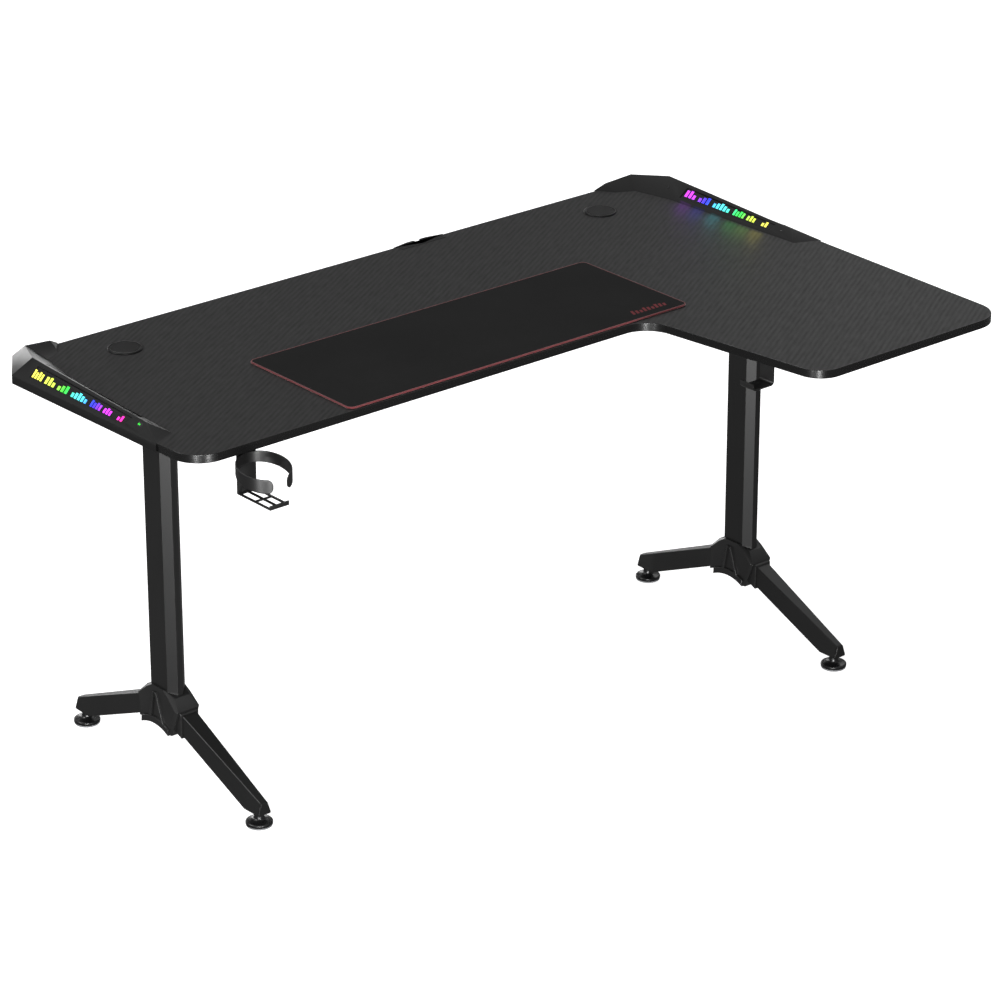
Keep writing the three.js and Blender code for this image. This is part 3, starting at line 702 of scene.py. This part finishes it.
def armRings(distances, way, grow=0.0, edge=None):
    sections = np.array([armSection(d, grow, edge) for d in distances])
    reach = np.broadcast_to(np.array(distances, float)[:, None, None] * way,
                            (*sections.shape[:2], 1))
    return np.concatenate([sections[..., :1], reach, sections[..., 1:]], 2)


def hubSide(way, y, z, out):
    # a place on the hub's left or right face, which narrows upwards in two steps
    stations = np.array([hub["foot"], hub["shoulder"], hub["top"]], float)
    x = np.interp(z, stations[:, 0], stations[:, 1]) + out
    return np.stack([way * x, y, z], -1)


def raised(way, outline, proud, edge=1.2):
    # a low pad on the hub's side face: its outline in y and z, drawn in by edge at the top
    inner = outline - outlineNormals(outline) * edge
    rings = [hubSide(way, outline[:, 0], outline[:, 1], -1.0),
             hubSide(way, outline[:, 0], outline[:, 1], proud - edge),
             hubSide(way, (outline + inner)[:, 0] / 2, (outline + inner)[:, 1] / 2,
                     proud - edge * 0.3),
             hubSide(way, inner[:, 0], inner[:, 1], proud)]
    return loft(np.array(rings))


def makeHubDetails(side, lift):
    # a flange along the arch and two tapering ribs on each side, and a collar round each arm
    name = f"hub_{side}"
    pieces = []
    y = np.linspace(-hub["halfArch"], hub["halfArch"], 17)
    arch = hub["archTop"] - hub["archRadius"] + np.sqrt(hub["archRadius"] ** 2 - y ** 2) + 0.3
    flange = np.concatenate([np.stack([y, arch], 1), np.stack([y, arch + hub["flange"]], 1)[::-1]])
    for way in (-1, 1):
        pieces.append(raised(way, flange, hub["flangeProud"]))
        for (footY, footZ), (headY, headZ), half in hub["ribs"]:
            rib = np.array([(footY - half, footZ), (footY + half, footZ),
                            (headY + half * 0.7, headZ), (headY - half * 0.7, headZ)])
            pieces.append(raised(way, rib, hub["ribProud"]))
        first, last, grow = hub["collarFrom"], hub["collarTo"], hub["collarGrow"]
        stations = [(first, grow), (last - 1, grow), (last, grow - 1), (last, touch),
                    (first, touch)]
        rings = np.concatenate([armRings([d], way, wider) for d, wider in stations])
        pieces.append(loft(rings, closed=True))
    for i, (points, faces) in enumerate(pieces):
        keepFlat(makePiece(f"{name}_detail_{i}", points + lift, faces, finish["cast_hub"],
                           bodyOf[name]))


def makeLeg(side, centre):
    lift = np.array([centre["x"], desk["rearY"] - centre["v"], 0.0])
    section = columnSection()
    heights = np.array([column["base"], column["top"] - 0.1])
    rings = np.concatenate([np.broadcast_to(section, (2, *section.shape)),
                            np.broadcast_to(heights[:, None, None], (2, len(section), 1))], 2)
    points, faces = loft(rings + lift)
    keepFlat(newFinish(f"column_{side}_tube", points, faces, f"column_{side}"))
    softened(f"hub_{side}", 1.6, 3, 16)
    makeHubDetails(side, lift)
    softened(f"column_plate_{side}", 0.6)
    softened(f"cross_beam_{side}", 0.6)
    bend = arm["reach"] - (arm["gap"] + arm["height"] - arm["tipTop"]) / arm["slope"]
    for end, way in (("front", -1), ("rear", 1)):
        name = f"{end}_{side}"
        distances = [arm["root"] + 0.1, bend - 6, bend - 2, bend, bend + 2, arm["reach"]]
        points, faces = loft(armRings(distances, way) + lift)
        keepFlat(newFinish(f"arm_{name}_tube", points, faces, f"arm_{name}"))
        first = arm["reach"] + touch
        last = first + arm["cap"]
        capRings = np.concatenate([armRings([first, last - 1.0], way),
                                   armRings([last - 0.3], way, -0.4),
                                   armRings([last], way, -1.1)])
        points, faces = loft(capRings + lift)
        keepFlat(newFinish(f"arm_cap_{name}_moulding", points, faces, f"arm_cap_{name}"))
        makeFoot(name, lift + [0, way * (arm["reach"] - foot["inset"]), 0])


def makeFoot(name, centre):
    # A levelling foot: a moulded disc with a rounded shoulder, standing on a grey glide ring.
    r, neck, top = foot["radius"], foot["neck"], arm["gap"] - touch
    arc = np.linspace(0, math.pi / 2, 8)
    shoulder = np.stack([r - 3.5 + 3.5 * np.cos(arc), 7.5 + 3.0 * np.sin(arc)], 1)
    bore = foot["stud"] + touch
    profile = np.concatenate([[(0.01, 3.4), (r - 1.2, 3.4), (r - 0.2, 4.2)], shoulder,
                              [(neck + 4.5, 12.5), (neck + 1.5, 14), (neck, 16.5),
                               (neck, top - 0.6), (neck - 0.6, top), (bore, top),
                               (bore, foot["pocket"]), (0.01, foot["pocket"])]])
    points, faces = loft(turned(profile, centre, 72))
    newFinish(f"foot_pad_{name}_moulding", points, faces, f"foot_pad_{name}")
    ring = np.array([(0.01, 0), (r - 2.2, 0), (r - 1.4, 0.5), (r - 1.0, 1.4), (r - 1.0, 3.1),
                     (0.01, 3.1)])
    points, faces = loft(turned(ring, centre, 72))
    makePiece(f"foot_glide_{name}", points, faces, glide, bodyOf[f"foot_pad_{name}"])


print("legs")
for legSide, legCentre in legs.items():
    makeLeg(legSide, legCentre)
for rail in ("rail_rear", "rail_front"):
    softened(rail, 0.6)


# Cup holder and headset hook

cup = {"u": 132, "radius": 49, "wall": 2.5, "middle": 22.486, "rear": 20, "front": 26, "mouth": 30,
       "setback": 6.3, "tip": 11, "tilt": 0.214}


def makeCupRing():
    # A flat strap bent round a circle that tilts down to the front: it widens from the back to the
    # fingers, and its height shrinks at each finger end as a quarter circle.
    centre = (-halfLength + cup["u"], -(desk["mainDepth"] - cup["setback"] + touch + cup["radius"]),
              -desk["thickness"] - cup["middle"])
    opening = math.asin(cup["mouth"] / 2 / cup["radius"])
    start, end = -math.pi / 2 + opening, 3 * math.pi / 2 - opening
    ease = (1 - np.cos(np.linspace(0, math.pi, 161))) / 2
    angles = start + (end - start) * ease
    reach = cup["radius"] * np.minimum(angles - start, end - angles)
    near = np.clip(1 - reach / cup["tip"], 0, 1)
    forward = (1 - np.sin(angles)) / 2
    wide = cup["rear"] + (cup["front"] - cup["rear"]) * forward
    tall = wide / 2 * np.sqrt(1 - 0.92 * near ** 2)
    thick = cup["wall"] / 2 * np.sqrt(1 - 0.6 * np.clip(1 - reach / 1.6, 0, 1) ** 2)
    corner = np.linspace(0, 2 * math.pi, 32, endpoint=False)
    # the section is a superellipse, flat on its faces and round at its edges
    across = np.sign(np.cos(corner)) * np.abs(np.cos(corner)) ** 0.5
    upward = np.sign(np.sin(corner)) * np.abs(np.sin(corner)) ** 0.12
    radius = cup["radius"] - cup["wall"] / 2 + thick[:, None] * across
    ahead = radius * np.sin(angles)[:, None]
    rings = np.stack([centre[0] + radius * np.cos(angles)[:, None], centre[1] + ahead,
                      centre[2] + cup["tilt"] * ahead + tall[:, None] * upward], 2)
    points, faces = loft(rings)
    keepFlat(newFinish("cup_ring_strap", onTop(points), faces, "cup_ring"))


print("cup holder and hook")
makeCupRing()
softened("cup_bracket", 0.5)
softened("headset_hook", 0.7)


# Mouse mat: cloth on foam rubber, with an overlocked rim

mat = {"length": 800, "depth": 298, "thick": 4, "radius": 14, "left": 356.5, "front": 3,
       "lift": 0.2, "rim": 2.2, "pitch": 2.6, "ridge": 0.28}
printed = {"fromRight": 118, "fromFront": 22, "bars": 9, "pitch": 9.5, "wide": 6, "tall": 17,
           "drop": 3, "slant": 0.35, "sink": 0.05, "rise": 0.12}


def matCorners(inset):
    x, y = -halfLength + mat["left"] + inset, -desk["mainDepth"] + mat["front"] + inset
    length, depth = mat["length"] - 2 * inset, mat["depth"] - 2 * inset
    r = mat["radius"] - inset
    return [(x, y, r), (x + length, y, r), (x + length, y + depth, r), (x, y + depth, r)]


def evenly(outline, step):
    # The closed outline again, in points an even step apart.
    ends = np.concatenate([outline, outline[:1]])
    run = np.concatenate([[0], np.cumsum(np.linalg.norm(np.diff(ends, axis=0), axis=1))])
    places = np.linspace(0, run[-1], int(run[-1] / step), endpoint=False)
    return np.stack([np.interp(places, run, ends[:, i]) for i in (0, 1)], 1), places, run[-1]


def makeMat():
    low, high = mat["lift"], mat["lift"] + mat["thick"] - 0.3
    points, faces = plate(rounded(matCorners(mat["rim"]), 12), low + 0.2, high, 0.6)
    cloth = newFinish("mat_cloth", onTop(points), faces, "mouse_pad")
    keepFlat(cloth)

    # the rim's section is an oval; its radius rises and falls once for each stitch, and the stitches
    # lean because the wave is shifted as it goes round the section
    middle, places, total = evenly(rounded(matCorners(mat["rim"]), 24), mat["pitch"] / 5)
    tangent = np.roll(middle, -1, 0) - np.roll(middle, 1, 0)
    tangent /= np.linalg.norm(tangent, axis=1)[:, None]
    outward = np.stack([tangent[:, 1], -tangent[:, 0]], 1)
    count = round(total / mat["pitch"])
    around = np.linspace(0, 2 * math.pi, 12, endpoint=False)
    wave = places[:, None] / total * count * math.pi + around[None] * 0.5
    ridge = mat["ridge"] * (np.abs(np.sin(wave)) - 1)
    wide = mat["rim"] + ridge
    tall = (mat["thick"] / 2 + ridge) * np.sin(around)
    flat = middle[:, None] + outward[:, None] * (wide * np.cos(around))[..., None]
    rings = np.concatenate([flat, (mat["lift"] + mat["thick"] / 2 + tall)[..., None]], 2)
    points, faces = loft(rings, closed=True)
    rim = makePiece("mat_stitched_rim", onTop(points), faces, thread, bodyOf["mouse_pad"],
                    sharp=70)
    stitchUv(rim, len(places), len(around), count)

    # a row of plain slanted bars printed near the right front corner, in three falling heights
    x0 = -halfLength + mat["left"] + mat["length"] - printed["fromRight"]
    y0 = -desk["mainDepth"] + mat["front"] + printed["fromFront"]
    bars, faces = [], []
    for i in range(printed["bars"]):
        x, wide = x0 + i * printed["pitch"], printed["wide"]
        tall = printed["tall"] - printed["drop"] * (i % 3)
        lean = tall * printed["slant"]
        base = np.array([(x, y0), (x + wide, y0), (x + wide + lean, y0 + tall),
                         (x + lean, y0 + tall)])
        at = i * 8
        bars += [np.concatenate([base, np.full((4, 1), high - printed["sink"])], 1),
                 np.concatenate([base, np.full((4, 1), high + printed["rise"])], 1)]
        faces += [[at + 3, at + 2, at + 1, at], [at + 4, at + 5, at + 6, at + 7]]
        faces += [[at + k, at + (k + 1) % 4, at + 4 + (k + 1) % 4, at + 4 + k] for k in range(4)]
    mark = makePiece("mat_print", onTop(np.concatenate(bars)), faces, printInk,
                     bodyOf["mouse_pad"], sharp=20)


def stitchUv(piece, rows, columns, count):
    # UV over the rim: u counts the stitches along it, v runs once round it.
    layer = piece.data.uv_layers.new(name="stitch")
    at = np.zeros(len(piece.data.loops), np.int32)
    piece.data.loops.foreach_get("vertex_index", at)
    u = (at // columns) / rows * count / 6
    v = (at % columns) / columns
    layer.data.foreach_set("uv", np.stack([u, v], 1).astype(np.float32).ravel())


print("mouse mat")
makeMat()


# Floor and light

def makeStudio():
    makeCamera()
    half = studio["floor"]
    mesh = bpy.data.meshes.new("floor")
    mesh.from_pydata([(-half, -half, 0), (half, -half, 0), (half, half, 0), (-half, half, 0)],
                     [], [(0, 1, 2, 3)])
    floor = bpy.data.objects.new("floor", mesh)
    bpy.context.scene.collection.objects.link(floor)
    mesh.materials.append(newMaterial("pale floor", Roughness=0.9, **{
        "Base Color": colour("#f2f2f2"), "Specular IOR Level": 0.1,
        "Emission Color": colour("#ffffff"), "Emission Strength": 0.75})[0])
    # the floor is mostly lit by itself, and throws no light back on to the desk
    floor.visible_diffuse = floor.visible_glossy = False
    world = bpy.data.worlds.new("studio")
    world.use_nodes = True
    world.node_tree.nodes["Background"].inputs["Color"].default_value = colour("#ffffff")
    world.node_tree.nodes["Background"].inputs["Strength"].default_value = 0.16
    bpy.context.scene.world = world
    makeLight("overhead", "SUN", 1.2, (0, 0, 5), (0.2, -0.1, 0), angle=math.radians(110))
    makeLight("rear_left_key", "AREA", 75, (-3.6, 1.5, 3.0), (0.0, 0, 0.7), shape="RECTANGLE",
              size=1.8, size_y=1.6)
    makeLight("right_fill", "AREA", 7, (2.9, 1.6, 2.2), (0.5, 0, 0.7), shape="RECTANGLE",
              size=1.4, size_y=1.4)
    makeLight("rear_backdrop", "AREA", 85, (0.6, 5.2, 0.5), (-0.2, 0, 0.5), shape="RECTANGLE",
              size=7.0, size_y=1.0)
    makeLight("front_strip", "AREA", 160, (-3.2, -3.8, 0.8), (0.0, 0, 0.4), shape="RECTANGLE",
              size=0.7, size_y=1.2)
    # low strips that pick out the columns' chamfers and the worktop's rounded corners
    for i, place in enumerate([(-2.3, -1.4, 0.3), (-1.0, -1.9, 0.3)]):
        strip = makeLight(f"low_strip_{i}", "AREA", 24, place,
                          (place[0] + 1.6, place[1] + 1.6, 0.4), shape="RECTANGLE", size=0.3,
                          size_y=0.4)
        strip.visible_camera = False
    # the marks' own light on the worktop: a small lamp beside each group on the right panel
    glowColours = ["#b03af4", "#2a34f0", "#50e4f0", "#30dc50", "#90e048", "#f0e458"]
    for i, ((start, end, _), code) in enumerate(zip(innerGroups, glowColours)):
        place = onTop([halfLength - 80, -(start + end) / 2, 12]) * mm
        lamp = makeLight(f"mark_glow_{i}", "AREA", studio["glow"], place,
                         place + [-0.02, 0, -0.03], shape="RECTANGLE", size=0.03, size_y=0.03)
        lamp.data.color = colour(code)[:3]
        lamp.visible_camera = False
    bpy.context.scene.view_settings.view_transform = "Standard"


print("studio")
makeStudio()
